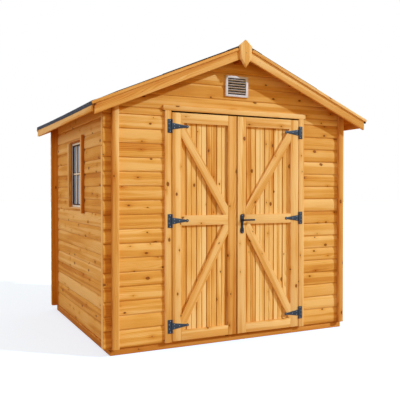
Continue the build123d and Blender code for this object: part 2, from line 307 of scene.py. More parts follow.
def scatter_knots(wood, grain, share):
    """Knots in a share of the cells.

    Gives where they are, how far outside the nearest one a point is, how near it is, and
    how high above its middle.
    """
    along, across, _ = wood.split(grain)
    seed = wood.node("ShaderNodeTexVoronoi", {"voronoi_dimensions": "2D"}, {
        "Vector": wood.join(along / KNOT_SPACING_ALONG, across / KNOT_SPACING_ACROSS, 0.0),
        "Scale": 1.0, "Randomness": 0.9,
    }, "Position")
    seed_along, seed_across, _ = wood.split(seed)
    luck, size, _ = wood.split(seed.other("Color"))
    present = luck > 1 - share
    beside = along - seed_along * KNOT_SPACING_ALONG
    above = across - seed_across * KNOT_SPACING_ACROSS
    beside_squared = beside * beside
    above_squared = above * above
    distance = wood.maths("SQRT", beside_squared * KNOT_LENGTHENING + above_squared)
    ragged = (wood.cloud(grain, 90.0) - 0.5) * RAGGED_BY
    radius = size * size * KNOT_GROWTH + SMALLEST_KNOT
    outside = (distance + ragged - radius) / KNOT_EDGE
    knot = (1.0 - wood.step(outside, -0.5, 1.0)) * present
    bend = wood.maths("EXPONENT", beside_squared * -BEND_ALONG - above_squared * BEND_ACROSS)
    return knot, outside, bend * present, above


print("a cell for a knot is", KNOT_SPACING_ALONG, "by", KNOT_SPACING_ACROSS, "m")

# %% Mix the timber finish
RINGS_PER_METRE = 115
KNOT_HEART = (0.15, 0.034, 0.004)
KNOT_RIM = (0.32, 0.085, 0.008)
# The dark colour that is painted into joints and grooves as their shade.
JOINT_SHADE_COLOUR = (0.40, 0.125, 0.014)


def timber(name, pale, middle, warm, slot="planed_timber", knots=0.75, contrast=1.0,
           roughness=0.62):
    """Softwood with rings, bands of heartwood and knots."""
    wood = Finish(name, slot, Specular_IOR_Level=0.07)
    grain = wood.attribute("grain", "Vector")
    tone, stain = wood.attribute("tone"), wood.attribute("stain")
    along, across, through = wood.split(grain)
    knot, outside, near, above = scatter_knots(wood, grain, knots)

    flow = across - above * near * 0.75
    swell = wood.cloud(wood.join(along * 1.3, flow * 9.0, through * 5.0), 1.0, 2.0, 0.45)
    ring = wood.maths("FRACT", flow * RINGS_PER_METRE + swell * 11.0)
    late = wood.step(ring, 0.25, 0.92) * (1.0 - wood.step(ring, 0.92, 1.0))
    fibre = wood.cloud(wood.join(along * 7.0, across * 330.0, through * 330.0))
    heartwood = wood.cloud(wood.join(along * 0.6, flow * 21.0, through * 6.0), 1.0, 1.0)
    band = wood.step(heartwood, 0.44, 0.60)
    patch = wood.cloud(wood.join(along * 2.6, across * 5.0, through), 1.0, 1.0)

    depth = (
        (late - 0.35) * (0.26 * contrast)
        + (band - 0.5) * (0.34 * contrast)
        + (tone - 0.5) * (0.46 * contrast)
        + (fibre - 0.5) * (0.40 * contrast)
        + (patch - 0.5) * 0.5
        + near * 0.25
        + 0.40
    )
    colour = wood.node("ShaderNodeValToRGB", {
        "stops": [(0.0, pale), (0.45, middle), (0.95, warm)],
    }, {"Fac": depth})
    heart = wood.mix(wood.step(outside, -3.5, -0.5), KNOT_RIM, KNOT_HEART)
    colour = wood.mix(knot * 0.92, colour, heart)
    # Joints and grooves are mixed towards that colour: painted shade.
    wood.feed("Base Color", wood.mix(stain * 0.8, colour, JOINT_SHADE_COLOUR))
    wood.feed("Roughness", roughness + fibre * 0.12 - knot * 0.1)
    wood.bump(fibre * 0.5 - late * 0.4 - knot * 0.5, 0.35, 0.0012)
    return wood


print("one timber finish, to be mixed in several colours")

# %% Choose the timber colours
CLADDING = timber(
    "cladding timber", (0.93, 0.55, 0.185), (0.79, 0.37, 0.066), (0.56, 0.18, 0.019),
    "cladding_timber",
)
PLANED = timber(
    "planed timber", (0.94, 0.58, 0.225), (0.80, 0.385, 0.084), (0.58, 0.185, 0.024),
    knots=0.7, contrast=1.1,
)
DOOR_BOARDS = timber(
    "door boards", (0.97, 0.64, 0.26), (0.86, 0.44, 0.098), (0.60, 0.20, 0.023),
    knots=0.6, contrast=1.3,
)
# A darker copy of the timber for the ridge beam, the front window trim and the drip strip, which
# stand in shade: painted shade.
SHADED_TIMBER = timber(
    "stained timber", (0.58, 0.19, 0.020), (0.47, 0.125, 0.009), (0.34, 0.075, 0.004),
    knots=0.5, contrast=0.8,
)
ROUGH = timber(
    "rough timber", (0.74, 0.31, 0.045), (0.61, 0.21, 0.018), (0.43, 0.12, 0.007),
    "rough_timber", knots=0.6, roughness=0.78,
)
# Near-black timber: painted shade in the window's reveals and in the gap over the doors.
SHADE_BEADING = timber(
    "dark beading", (0.10, 0.040, 0.012), (0.065, 0.024, 0.007), (0.035, 0.012, 0.004),
    knots=0.2,
)
FLOORING = timber(
    "floor timber", (0.74, 0.31, 0.06), (0.62, 0.22, 0.030), (0.45, 0.13, 0.013),
    "floor_timber", knots=0.5, contrast=0.9, roughness=0.7,
)
for surface in (CLADDING, PLANED, DOOR_BOARDS, SHADED_TIMBER, ROUGH, SHADE_BEADING, FLOORING):
    print(surface.material.name, "stands for", surface.slot)

# %% [markdown]
# ## Boards
#
# Everything wooden is a board: a bar with slightly eased edges, laid along some direction
# and sawn off by planes. Cubes scaled by hand would do for a few of them, but there are some
# 400. A board is made at the origin with its length along X, so that its grain is simply its
# own coordinates. Then it is turned into place, cut, and added to the piece that it belongs
# to. One mesh with many boards keeps the number of pieces small. How dark a board is comes
# from dice that are seeded by its piece's name, or is chosen, and a board may change from
# one edge to the other, as a post does that has some heartwood in it.

# %% Turn a shape into a piece
SMOOTH_UP_TO = radians(35)
ALONG = {
    "X": Matrix.Identity(4),
    "Y": Matrix.Rotation(radians(90), 4, "Z"),
    "Z": Matrix.Rotation(radians(-90), 4, "Y"),
}


def make_piece(name, shape, surface, nodes=(), body="root"):
    """Turn a bmesh into a shown piece that rides on a body and replaces solids."""
    mesh = bpy.data.meshes.new(name)
    shape.to_mesh(mesh)
    shape.free()
    mesh.shade_smooth()
    mesh.set_sharp_from_angle(angle=SMOOTH_UP_TO)
    mesh.materials.append(surface.material)
    piece = show(name, mesh)
    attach(piece, body)
    if nodes:
        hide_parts(*nodes)
    return piece


def pour(shape, into):
    """Add one bmesh to another."""
    mesh = bpy.data.meshes.new("part")
    shape.to_mesh(mesh)
    shape.free()
    into.from_mesh(mesh)
    bpy.data.meshes.remove(mesh)


print("pieces ride on a body and stand for solids")

# %% Start a board and ease its edges
EASED_EDGE = 0.0015
LOG = 9.0


def grained():
    """An empty shape with the three attributes that the timber finishes read."""
    shape = bmesh.new()
    shape.verts.layers.float_vector.new("grain")
    shape.verts.layers.float.new("tone")
    shape.verts.layers.float.new("stain")
    return shape


def ease(shape, edges, width):
    """Round some edges off."""
    bmesh.ops.bevel(
        shape, geom=edges, offset=width, offset_type="OFFSET", segments=2, profile=0.5,
        affect="EDGES", material=-1, clamp_overlap=True,
    )


print("edges are eased by", EASED_EDGE * 1000, "mm")


# %% Gather boards into a piece
class Gathering:
    """A piece of the shed that is gathered board by board into one mesh."""

    def __init__(self, name, surface):
        self.name = name
        self.surface = surface
        self.dice = random.Random(name)
        self.gathered = grained()
        self.boards = 0

    def look(self, shade=None):
        """A random stretch of log to cut a board from, and how dark its two edges are."""
        start = Vector([self.dice.uniform(0, LOG) for _ in range(3)])
        chance = self.dice.random()
        shade = chance if shade is None else shade
        return start, shade if isinstance(shade, tuple) else (shade, shade)

    def add(self, board, placing, cuts=(), look=None, on_edge=False):
        """Turn a board into place, saw off what lies outside each plane, and keep it."""
        start, (one_edge, other_edge) = look or self.look()
        grain = board.verts.layers.float_vector["grain"]
        tone = board.verts.layers.float["tone"]
        side = 2 if on_edge else 1
        half = max(vert.co[side] for vert in board.verts)
        for vert in board.verts:
            vert[grain] = start + (vert.co.xzy if on_edge else vert.co)
            share = min(1, max(0, 0.5 + vert.co[side] / (2 * half)))
            vert[tone] = one_edge + (other_edge - one_edge) * share
        board.transform(placing)
        for point, outwards in cuts:
            everything = board.verts[:] + board.edges[:] + board.faces[:]
            bmesh.ops.bisect_plane(
                board, geom=everything, dist=1e-6, plane_co=point, plane_no=outwards,
                clear_outer=True,
            )
            open_edges = [edge for edge in board.edges if edge.is_boundary]
            bmesh.ops.holes_fill(board, edges=open_edges, sides=0)
        pour(board, self.gathered)
        self.boards += 1

    def finish(self, *nodes, body="root"):
        """Make the object that stands for these solids."""
        piece = make_piece(self.name, self.gathered, self.surface, nodes, body)
        print(self.name, "boards", self.boards, "faces", len(piece.data.polygons))


print("boards can be turned, sawn and gathered")


# %% Shape boards
class Joinery(Gathering):
    """A piece made of square bars and moulded boards."""

    def bar(self, size, placing, cuts=(), eased=EASED_EDGE, look=None):
        """A square bar with its length along its own X, and its grain across the wider side."""
        board = grained()
        bmesh.ops.create_cube(board, size=1, matrix=Matrix.Diagonal((*size, 1)))
        ease(board, board.edges[:], eased)
        self.add(board, placing, cuts, look, on_edge=size[1] < size[2])

    def board(self, low, high, along, cuts=(), eased=EASED_EDGE, shade=None):
        """A bar between two corners, with its grain along X, Y or Z."""
        low, high = Vector(map(min, low, high)), Vector(map(max, low, high))
        turn = ALONG[along]
        size = turn.to_3x3().transposed() @ (high - low)
        placing = Matrix.Translation((low + high) / 2) @ turn
        self.bar([abs(s) for s in size], placing, cuts, eased, self.look(shade))

    def moulding(self, outline, length, placing, cuts=(), look=None):
        """A board swept from an outline of (across, through, stain), along its own X."""
        board = grained()
        stain = board.verts.layers.float["stain"]
        corners = []
        for across, through, shaded in outline:
            corner = board.verts.new((-length / 2, across, through))
            corner[stain] = shaded
            corners.append(corner)
        swept = bmesh.ops.extrude_face_region(board, geom=[board.faces.new(corners)])
        far_end = [v for v in swept["geom"] if isinstance(v, bmesh.types.BMVert)]
        bmesh.ops.translate(board, vec=(length, 0, 0), verts=far_end)
        bmesh.ops.recalc_face_normals(board, faces=board.faces[:])
        self.add(board, placing, cuts, look)


def single(name, surface, low, high, along, nodes=(), **options):
    """A piece that is one board between two corners."""
    piece = Joinery(name, surface)
    piece.board(low, high, along, **options)
    piece.finish(*nodes)


print("boards can be squared and moulded")

# %% [markdown]
# ## Nails and screws
#
# Nail heads hold the cladding and the trim, broad clout nails the felt, and screws the
# ironwork. Each is a low cone with a few sides, because hundreds of them show only as dots.
# Instances would be lighter still, but one joined mesh for each body is simple to move with
# a door. A screw's top face is inset and pushed in, which makes its recess.


# %% Gather nails and screws
NAIL_HEAD = (0.0023, 0.0016)
SCREW_SIDES = 14


class Fixings:
    """Many small heads in one mesh."""

    def __init__(self, name):
        self.name = name
        self.heads = bmesh.new()
        self.count = 0

    def nail(self, place, outwards, head=NAIL_HEAD, sides=8):
        """Set a head of some radius and height on a surface."""
        radius, height = head
        turn = outwards.to_track_quat("Z", "Y").to_matrix().to_4x4()
        self.count += 1
        return bmesh.ops.create_cone(
            self.heads, cap_ends=True, segments=sides, radius1=radius, radius2=radius * 0.7,
            depth=height, matrix=Matrix.Translation(place) @ turn,
        )["verts"]

    def screw(self, place, outwards, radius=0.004):
        """A head with a recess."""
        rim = self.nail(place, outwards, (radius, radius * 0.7), SCREW_SIDES)
        self.heads.normal_update()
        faces = {face for vert in rim for face in vert.link_faces}
        top = max(faces, key=lambda face: face.normal.dot(outwards))
        recess = radius * 0.3
        bmesh.ops.inset_region(self.heads, faces=[top], thickness=recess, depth=-recess)

    def finish(self, surface, body="root"):
        make_piece(self.name, self.heads, surface, (), body)
        print(self.name, "heads", self.count)


nails = Fixings("nails")
print("nails and screws ready")

# %% [markdown]
# ## Cladding
#
# The walls are clad with rounded boards that lock into each other. The lower edge of each
# board laps over the thin tongue of the board below it, and its face swells out between
# them. A bump pattern on a flat slab would show the lines but not the soft swell, nor the
# stepped silhouette at the corners, so one outline is swept along the wall for each board.
#
# The lowest board is taller than the rest. At a window the same board is sawn twice, below
# the hole and above it, with the same stretch of grain, so that the parts still look like
# one board. The board ends that stand past the left batten get the darkest tone, as painted
# shade of the batten's shadow, so they are a piece of their own.

# %% Draw the cladding board
LAP = 0.1066
FIRST_LINE = 0.187
LEAST_BOARD = 0.004
ROUNDED_FOOT = 0.12
LOWER_EDGE_ROUND = 0.006
HOLLOW_FROM = 0.5
TONGUE_SET_BACK = 0.0095
# How much painted shade the joints at a board's foot and head get.
PAINTED_JOINT_SHADE = 0.4
FLOOR_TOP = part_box("floor_boards")[1].z
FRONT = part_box("front_frame_left")[0].y
CLADDING_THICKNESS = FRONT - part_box("front_wall_left")[0].y
GABLE_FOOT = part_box("front_gable")[0].z
SHARES_UP_THE_BOARD = (0, 0.025, 0.07, 0.12, 0.3, 0.5, 0.62, 0.73, 0.82, 0.89, 0.955, 1)


def swell(share):
    """How far the face stands out from the studs, from a board's foot to its head."""
    foot = LOWER_EDGE_ROUND * max(0, 1 - share / ROUNDED_FOOT) ** 2
    head = TONGUE_SET_BACK * max(0, (share - HOLLOW_FROM) / (1 - HOLLOW_FROM)) ** 3
    return CLADDING_THICKNESS - foot - head


def cladding_outline(low, high):
    face = [
        (low + share * (high - low), swell(share), PAINTED_JOINT_SHADE if share in (0, 1) else 0)
        for share in SHARES_UP_THE_BOARD
    ]
    return face + [(high, 0, 0), (low, 0, 0)]


def board_lines(low, high, first):
    """The heights where one board ends and the next begins."""
    lines = [low]
    while first < high - LEAST_BOARD:
        lines.append(first)
        first += LAP
    return lines + [high]


print("cladding board", round(LAP * 1000), "mm to the next")

# %% Clad one wall
NAIL_UP = 0.028
NAILED_FROM = 0.06
NAIL_CLEAR = 0.01


def saws_at(hole, run, low, high):
    """The saws for each part of a board: beside a hole, below it and above it."""
    if not hole or low >= hole["high"] or high <= hole["low"]:
        return [[]]
    near, far = run * hole["start"], run * hole["end"]
    between = [(near, -run), (far, run)]
    saws = [[(near, run)], [(far, -run)]]
    if low < hole["low"]:
        saws.append(between + [(UP * hole["low"], UP)])
    if high > hole["high"]:
        saws.append(between + [(UP * hole["high"], -UP)])
    return saws


def clad(name, nodes, back, run, outwards, start, end, lines, studs=(), cuts=(), hole=None,
         shade=None):
    """Clad a wall. run and outwards are directions, and start, end and studs lie along run."""
    wall = Joinery(name, CLADDING)
    turn = Matrix((run, UP, outwards)).transposed().to_4x4()
    placing = Matrix.Translation(run * (start + end) / 2 + outwards * back) @ turn
    nail_out = back + swell(NAIL_UP / LAP)
    for low, high in zip(lines, lines[1:]):
        look = wall.look(shade)
        for saws in saws_at(hole, run, low, high):
            outline = cladding_outline(low, high)
            wall.moulding(outline, end - start, placing, [*saws, *cuts], look)
        for stud in studs if high - low > NAILED_FROM else ():
            place = run * stud + UP * (low + NAIL_UP) + outwards * nail_out
            if all((place - point).dot(normal) <= -NAIL_CLEAR for point, normal in cuts):
                nails.nail(place, outwards)
    wall.finish(*nodes)


print("walls can be clad")

# %% Clad the front
VENT_SIDE_RIM = 0.022
VENT_END_RIM = 0.017
low_lines = board_lines(FLOOR_TOP, GABLE_FOOT, FIRST_LINE)
gable_top = roof_height(0, DECK)
gable_lines = board_lines(GABLE_FOOT, gable_top, GABLE_FOOT + LAP)
left_end, right_end = (corner.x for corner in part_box("front_gable"))
lap_nails = left_end + 0.03
behind_batten = sum(corner.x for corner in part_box("corner_batten_front_left")) / 2
doorway_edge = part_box("door_jamb_left")[0].x
vent_low, vent_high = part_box("vent")
vent_hole = {
    "start": vent_low.x + VENT_SIDE_RIM, "end": vent_high.x - VENT_SIDE_RIM,
    "low": vent_low.z + VENT_END_RIM, "high": vent_high.z - VENT_END_RIM,
}

on_front = {"back": -FRONT, "run": RIGHTWARDS, "outwards": FORWARDS}
clad("front_wall_left_boards", ["front_wall_left"], **on_front,
     start=behind_batten, end=doorway_edge, lines=low_lines)
# The board ends past the left batten get the darkest tone, shade=1.0, as painted shade.
clad("front_wall_left_ends", (), **on_front,
     start=left_end, end=behind_batten, lines=low_lines, studs=[lap_nails], shade=1.0)
clad("front_wall_right_boards", ["front_wall_right"], **on_front,
     start=-doorway_edge, end=right_end, lines=low_lines)
clad("front_gable_boards", ["front_gable"], **on_front, start=left_end, end=right_end,
     lines=gable_lines, studs=[lap_nails], cuts=UNDER_DECK, hole=vent_hole)

# %% Clad the back and the sides
STUD = 0.045
BACK_NAILS = 0.34
side_low, side_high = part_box("right_wall")
sash_low, sash_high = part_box("window_sash")
side_lines = board_lines(FLOOR_TOP, roof_height(side_low.x, DECK), FIRST_LINE)
side_studs = [
    side_low.y + STUD / 2, sash_low.y - STUD / 2, sash_high.y + STUD / 2, side_high.y - STUD / 2,
]
window_hole = {
    "start": -sash_high.y, "end": -sash_low.y, "low": sash_low.z, "high": sash_high.z,
}

clad("back_wall_boards", ["back_wall"], -FRONT, -RIGHTWARDS, BACKWARDS, -right_end, -left_end,
     low_lines + gable_lines[1:], (-BACK_NAILS, BACK_NAILS, -lap_nails), UNDER_DECK)
clad("right_wall_boards", ["right_wall"], side_low.x, BACKWARDS, RIGHTWARDS,
     side_low.y, side_high.y, side_lines, side_studs, UNDER_DECK)
clad("left_wall_boards", ["left_wall"], side_low.x, FORWARDS, -RIGHTWARDS,
     side_low.y, side_high.y, side_lines, [-y for y in side_studs], UNDER_DECK, window_hole)

# %% [markdown]
# ## Frames behind the boards
#
# Posts, studs, rails and rafters show through the open doors. They are plain sawn sticks.
# The solids have them fused into one frame for each wall, and laying texture on those would
# run the grain one way through posts and rails alike. So each stick is a board again. A
# rafter is a bar turned to the pitch of the roof and sawn plumb at both ends. Where sticks
# cross, one is a hair thinner, because two faces in one plane would shade each other black.

# %% Lay bars along the roof
RAFTER = 0.070
APEX_PLATE_HALF = 0.080
APEX_PLATE_DROP = 0.182
FLUSH = 0.0006


def on_slope(side, x, y, depth):
    """The turn and the place for something that lies on one slope of the roof."""
    place = Matrix.Translation((side * x, y, roof_height(x, depth)))
    return place @ Matrix.Rotation(side * ROOF_PITCH, 4, "Y")


def plumb_cuts(side, x0, x1):
    """Upright saws at two distances from the middle of the shed."""
    return [((side * x0, 0, 0), (-side, 0, 0)), ((side * x1, 0, 0), (side, 0, 0))]


def slope_bar(piece, side, x0, x1, y0, y1, over, under, eased=EASED_EDGE, plumb=True):
    """A bar down one slope of the roof between two depths."""
    spare = 4 * (under - over) if plumb else 0
    size = ((x1 - x0) / cos(ROOF_PITCH) + spare, y1 - y0, under - over)
    placing = on_slope(side, (x0 + x1) / 2, (y0 + y1) / 2, (over + under) / 2)
    piece.bar(size, placing, plumb_cuts(side, x0, x1) if plumb else (), eased)


def gable_frame(piece, y0, y1, foot):
    """Rail, two rafters and the plate that joins them at the apex."""
    piece.board((left_end, y0, foot), (right_end, y1, foot + STUD), "X", UNDER_DECK)
    for side, end in ((-1, -left_end), (1, right_end)):
        slope_bar(piece, side, 0, end, y0 + FLUSH, y1 - FLUSH, DECK, DECK + RAFTER)
    low = (-APEX_PLATE_HALF, y0 + 2 * FLUSH, RIDGE - APEX_PLATE_DROP)
    high = (APEX_PLATE_HALF, y1 - 2 * FLUSH, gable_top)
    piece.board(low, high, "Z", UNDER_DECK)


print("rafters", round(RAFTER * 1000), "mm deep")

# %% Build the front and back frames
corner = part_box("right_frame")[0].x
for word, side in SIDES:
    node = f"front_frame_{word}"
    low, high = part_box(node)
    outer, inner = (low.x, high.x) if side < 0 else (high.x, low.x)
    single(node + "_outer_post", PLANED, (outer, low.y, low.z), (side * corner, high.y, high.z),
           "Z", shade=0.0)
    sticks = Joinery(node + "_studs", ROUGH)
    sticks.board((inner, low.y, low.z), (inner + side * STUD, high.y, high.z), "Z")
    for z in (low.z, high.z - STUD):
        sticks.board((side * corner, low.y, z), (inner + side * STUD, high.y, z + STUD), "X")
    sticks.finish(node)

low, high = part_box("front_frame_gable")
sticks = Joinery("front_frame_gable_sticks", ROUGH)
gable_frame(sticks, low.y, high.y, low.z)
sticks.finish("front_frame_gable")

low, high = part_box("back_frame")
sticks = Joinery("back_frame_sticks", ROUGH)
gable_frame(sticks, low.y, high.y, GABLE_FOOT)
bay = (2 * corner - 2 * STUD) / 3
sticks.board((-corner, low.y, low.z), (corner, high.y, low.z + STUD), "X")
for x0, x1 in ((left_end, -corner), (corner, right_end)):
    sticks.board((x0, low.y, low.z), (x1, high.y, GABLE_FOOT), "Z")
for x in (-corner + bay, corner - bay - STUD):
    sticks.board((x, low.y, low.z + STUD), (x + STUD, high.y, GABLE_FOOT), "Z")
sticks.finish("back_frame")

# %% Build the side frames
for node in ("left_frame", "right_frame"):
    low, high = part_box(node)
    sticks = Joinery(node + "_studs", ROUGH)
    rail_foot = roof_height(farthest(low, high).x, DECK) - STUD
    for y in side_studs:
        sticks.board((low.x, y - STUD / 2, low.z + STUD), (high.x, y + STUD / 2, rail_foot), "Z")
    sticks.board((low.x, low.y, low.z), (high.x, high.y, low.z + STUD), "Y")
    sticks.board((low.x, low.y, rail_foot), (high.x, high.y, high.z), "Y", UNDER_DECK)
    if node == "left_frame":
        for z in (sash_low.z - STUD, sash_high.z):
            sticks.board((low.x, sash_low.y, z), (high.x, sash_high.y, z + STUD), "Y")
    sticks.finish(node)

# %% [markdown]
# ## Floor
#
# Joists run from front to back between two rims, and boards lie across them. The rims and
# the ends of the boards are all that shows of the floor from outside, and the boards show
# again through the open doors, so both get their real sticks.

# %% Lay the floor
JOIST = 0.038
JOISTS = 5
FLOORBOARD = 0.115
low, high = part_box("floor_frame")
joists = Joinery("floor_joists", FLOORING)
for y in (low.y, high.y - JOIST):
    joists.board((low.x, y, low.z), (high.x, y + JOIST, high.z), "X")
for n in range(JOISTS):
    x = low.x + n * (high.x - low.x - JOIST) / (JOISTS - 1)
    joists.board((x, low.y + JOIST, low.z), (x + JOIST, high.y - JOIST, high.z), "Y")
joists.finish("floor_frame")

low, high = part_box("floor_boards")
floor_planks = Joinery("floor_planks", FLOORING)
rows = round((high.y - low.y) / FLOORBOARD)
for n in range(rows):
    y0, y1 = (low.y + m * (high.y - low.y) / rows for m in (n, n + 1))
    floor_planks.board((low.x, y0, low.z), (high.x, y1, high.z), "X")
floor_planks.finish("floor_boards")

# %% [markdown]
# ## Roof timbers
#
# Thin boards run from gable to gable and rest on the ridge beam and two purlins. The eaves
# end in a fascia, and the gables in bargeboards with a cover strip along their upper edge.
# From below, at the eaves and under the overhang, the separate boards can be counted, so
# they are sawn one by one too, and laid on the slope with the same turn as the rafters.
# The posts, jambs and stiles around the doors get listed shades, and a dark strip
# behind the head board paints shade into the gap over the doors.

# %% Build the roof timbers
ROOF_BOARD = 0.100
SPARE = 0.02
for word, side in SIDES:
    low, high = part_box(f"roof_boards_{word}")
    reach = farthest(low, high).x
    deck = Joinery(f"roof_planks_{word}", ROUGH)
    rows = round(reach / cos(ROOF_PITCH) / ROOF_BOARD)
    for n in range(rows):
        x0, x1 = n * reach / rows, (n + 1) * reach / rows
        width = (x1 - x0) / cos(ROOF_PITCH) + (SPARE if n in (0, rows - 1) else 0)
        placing = on_slope(side, (x0 + x1) / 2, 0, DECK / 2) @ ALONG["Y"]
        deck.bar((high.y - low.y, width, DECK), placing, plumb_cuts(side, 0, reach))
    deck.finish(f"roof_boards_{word}")

    node = f"fascia_{word}"
    roof_top = [(Vector((0, 0, RIDGE)), off_the_roof(side))]
    single(f"fascia_board_{word}", PLANED, *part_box(node), "Y", [node], cuts=roof_top)

    low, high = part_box(f"purlin_{word}")
    purlin = Joinery(f"purlin_{word}_bar", ROUGH)
    x0, x1 = sorted((abs(low.x), abs(high.x)))
    depth = (high.z - low.z - (x1 - x0) * tan(ROOF_PITCH)) * cos(ROOF_PITCH)
    size = (high.y - low.y, (x1 - x0) / cos(ROOF_PITCH) + 2 * SPARE, depth)
    placing = on_slope(side, (x0 + x1) / 2, 0, DECK + depth / 2) @ ALONG["Y"]
    purlin.bar(size, placing, plumb_cuts(side, x0, x1))
    purlin.finish(f"purlin_{word}")

# The ridge beam is of the darker timber, as painted shade.
single("ridge_beam_bar", SHADED_TIMBER, *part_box("ridge_beam"), "Y", ["ridge_beam"], cuts=UNDER_DECK)

# %% Trim the gables
BARGEBOARDS = {"front": 0.085, "back": 0.066}
BARGEBOARD_NAILS = (0.14, 0.50, 0.86)
LAST_NAIL_IN = 0.035
NAIL_DOWN = 0.056
STRIP = 0.022
STRIP_RISE = 0.005
SHORT_OF_FINIAL = 0.008
TRIM_EDGE = 0.002
for gable, outwards in GABLES:
    strip_low, strip_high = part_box(f"cover_strips_{gable}")
    strip_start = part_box(f"finial_{gable}")[1].x + SHORT_OF_FINIAL
    strip_end = strip_high.x - STRIP * sin(ROOF_PITCH) / 2
    strips = Joinery(f"cover_strips_{gable}_pair", PLANED)
    for word, side in SIDES:
        node = f"bargeboard_{gable}_{word}"
        low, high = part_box(node)
        far = farthest(low, high)
        board = Joinery(node + "_board", PLANED)
        slope_bar(board, side, 0, far.x, low.y, high.y, 0, BARGEBOARDS[gable], TRIM_EDGE)
        board.finish(node)
        slope_bar(strips, side, strip_start, strip_end, strip_low.y, strip_high.y,
                  -STRIP_RISE, STRIP - STRIP_RISE, TRIM_EDGE, plumb=False)
        for x in (*BARGEBOARD_NAILS, far.x - LAST_NAIL_IN):
            place = Vector((side * x, outwards.y * far.y, roof_height(x, NAIL_DOWN)))
            nails.nail(place, outwards)
    strips.finish(f"cover_strips_{gable}")

# %% Trim the corners and the doorway
BATTEN_SHADES = (0.10, 1.05)
BATTEN_NAILS = [0.07 + 0.32 * n for n in range(6)]
SHADE_STRIP_SET_BACK = 0.003
SHADE_STRIP_DROP = 0.002
for gable, outwards in GABLES:
    for word, _ in SIDES:
        node = f"corner_batten_{gable}_{word}"
        low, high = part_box(node)
        single(node + "_board", PLANED, low, high, "Z", [node],
               cuts=UNDER_DECK, eased=TRIM_EDGE, shade=BATTEN_SHADES)
        face_y = outwards.y * farthest(low, high).y
        for up in BATTEN_NAILS:
            nails.nail(Vector(((low.x + high.x) / 2, face_y, low.z + up)), outwards)
for node, along, shade in (
    ("door_jamb_left", "Z", (0.9, 0.1)), ("door_jamb_right", "Z", (0.2, 0.6)),
    ("door_head", "X", 0.3),
):
    single(node + "_board", PLANED, *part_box(node), along, [node], eased=TRIM_EDGE, shade=shade)

# A near-black strip behind the head board: painted shade in the gap over the doors.
low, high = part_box("door_head")
single("draught_strip", SHADE_BEADING,
       (low.x, low.y + SHADE_STRIP_SET_BACK, low.z - SHADE_STRIP_DROP),
       (high.x, high.y, low.z), "X", eased=0.0004)

# %% [markdown]
# ## Pieces kept as solids, with softer edges
#
# Iron, plastic and the shaped finials already have the right form. Their edges are perfectly
# sharp, which no real edge is. Modelling them again would only risk another shape, so a copy
# of the solid gets a narrow bevel that catches the light. The copy is merged first, because
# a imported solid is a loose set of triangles.

# %% Soften a copy of a solid
FINIAL_NAIL_DROP = 0.106
FINIAL_NAIL_HEAD = (0.004, 0.0016)
FINIAL_PLANED = 0.001
FINIAL_LOG = Vector((3.1, 5.3, 0))
FINIAL_SHADE = 0.3
FLAT = radians(0.6)


def softened(node, width, sharp=32):
    """A bmesh copy of a solid with every sharp edge eased."""
    copy = grained()
    copy.from_mesh(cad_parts[node].data)
    bmesh.ops.remove_doubles(copy, verts=copy.verts[:], dist=2e-6)
    bmesh.ops.dissolve_limit(
        copy, angle_limit=FLAT, verts=copy.verts[:], edges=copy.edges[:],
        use_dissolve_boundaries=False,
    )
    manifold = [edge for edge in copy.edges if edge.is_manifold]
    ease(copy, [edge for edge in manifold if edge.calc_face_angle() > radians(sharp)], width)
    return copy


for gable, outwards in GABLES:
    node = f"finial_{gable}"
    shape = softened(node, EASED_EDGE, 20)
    grain = shape.verts.layers.float_vector["grain"]
    tone = shape.verts.layers.float["tone"]
    low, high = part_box(node)
    back_y = outwards.y * min(abs(low.y), abs(high.y))
    thinner = 1 - FINIAL_PLANED / (high.y - low.y)
    for vert in shape.verts:
        vert.co.y = back_y + (vert.co.y - back_y) * thinner
        vert[grain] = vert.co.zxy + FINIAL_LOG
        vert[tone] = FINIAL_SHADE
    make_piece(node + "_board", shape, PLANED, [node])
    face_y = outwards.y * (farthest(low, high).y - FINIAL_PLANED)
    nails.nail(Vector((0, face_y, high.z - FINIAL_NAIL_DROP)), outwards,
               FINIAL_NAIL_HEAD)
print("finials eased")

# %% [markdown]
# ## Felt
#
# The roof is covered with mineral felt: a dark sheet pressed full of fine grit. It comes in
# rolls that are laid from gable to gable, each lapping over the one below it, with a narrow
# cap over the ridge and the lowest one turned down over the fascia. A cloth simulation would
# sag it between the boards, but felt is stiff and nailed down, so a path across the roof is
# swept from gable to gable, rippled a little and given its thickness. Stiff felt also springs
# up where no nail holds it: along both gables, and at the left eaves towards the back.

# %% Mix the felt finish
FELT = Finish("mineral felt", "roof_felt", Roughness=0.9, Specular_IOR_Level=0.3)
where = FELT.place()
grit = FELT.cloud(where, 900.0, 2.0, 0.6)
speck = FELT.step(FELT.cloud(where, 420.0, 1.0), 0.58, 0.72)
weathering = FELT.cloud(where, 3.0, 3.0, 0.6)
runs = FELT.cloud(FELT.stretch(where, (3, 34, 3)))
streaks = FELT.step(weathering, 0.45, 0.75) * 0.3 + FELT.step(runs, 0.58, 0.8) * 0.3
colour = FELT.mix(FELT.step(grit, 0.35, 0.7), (0.015, 0.018, 0.028), (0.046, 0.051, 0.068))
colour = FELT.mix(speck * 0.5, colour, (0.14, 0.15, 0.17))
FELT.feed("Base Color", FELT.mix(streaks, colour, (0.13, 0.135, 0.15)))
FELT.bump(grit, 0.6, 0.001)
print("felt finish ready")

# %% Sweep a sheet of felt
FELT_THICKNESS = 0.0026
RIPPLE = 0.0007
RIPPLES_PER_METRE = 5.0
GABLE_LIFT = 0.008
GABLE_REACH = 0.06
BACK_RISE = {-1: 0.022, 1: 0.0}
EAVES_FROM = 1.08
EAVES_REACH = 0.12
felt_low, felt_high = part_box("roof_felt")


def felt_point(side, x, lift):
    return Vector((side * x, 0, roof_height(x, -lift)))


